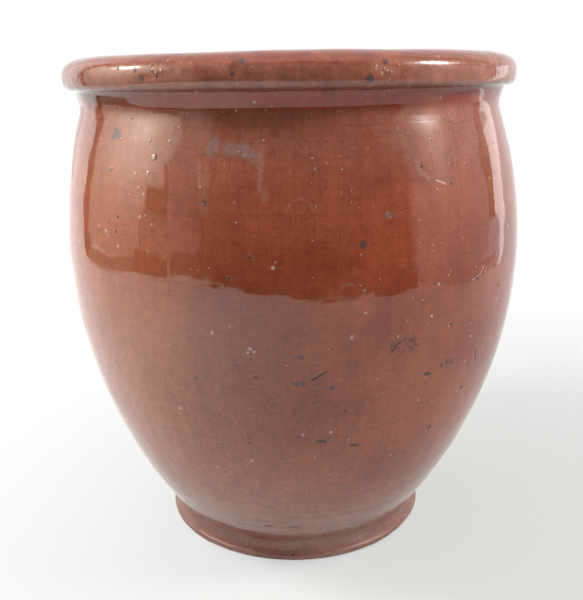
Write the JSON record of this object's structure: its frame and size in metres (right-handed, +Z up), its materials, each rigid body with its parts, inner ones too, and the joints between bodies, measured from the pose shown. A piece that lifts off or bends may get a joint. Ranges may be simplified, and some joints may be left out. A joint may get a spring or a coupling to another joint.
{
  "type": "preserve crock",
  "caption": "Wheel-thrown redware preserve crock with a swelling body, a narrowed neck, a rolled bead round the wide mouth, a small foot and a glossy red-brown glaze inside and out.",
  "frame": {"origin": "centre of the foot's flat underside, on the surface that the crock stands on", "axes": "+Z up along the axis of the wheel, through the middle of the mouth; +X to the right in the picture; +Y away from its camera"},
  "size_m": [0.1802, 0.1802, 0.19],
  "materials": {
    "fired_clay": "unglazed red earthenware, dry and slightly gritty",
    "outside_glaze": "glossy transparent red-brown glaze with fine crazing, specks and small pits",
    "inside_glaze": "glossy red-brown glaze with throwing rings under it"
  },
  "bodies": {
    "root": {"clay_body": "fired_clay", "outside_glaze": "outside_glaze", "inside_glaze": "inside_glaze"}
  },
  "joints": []
}
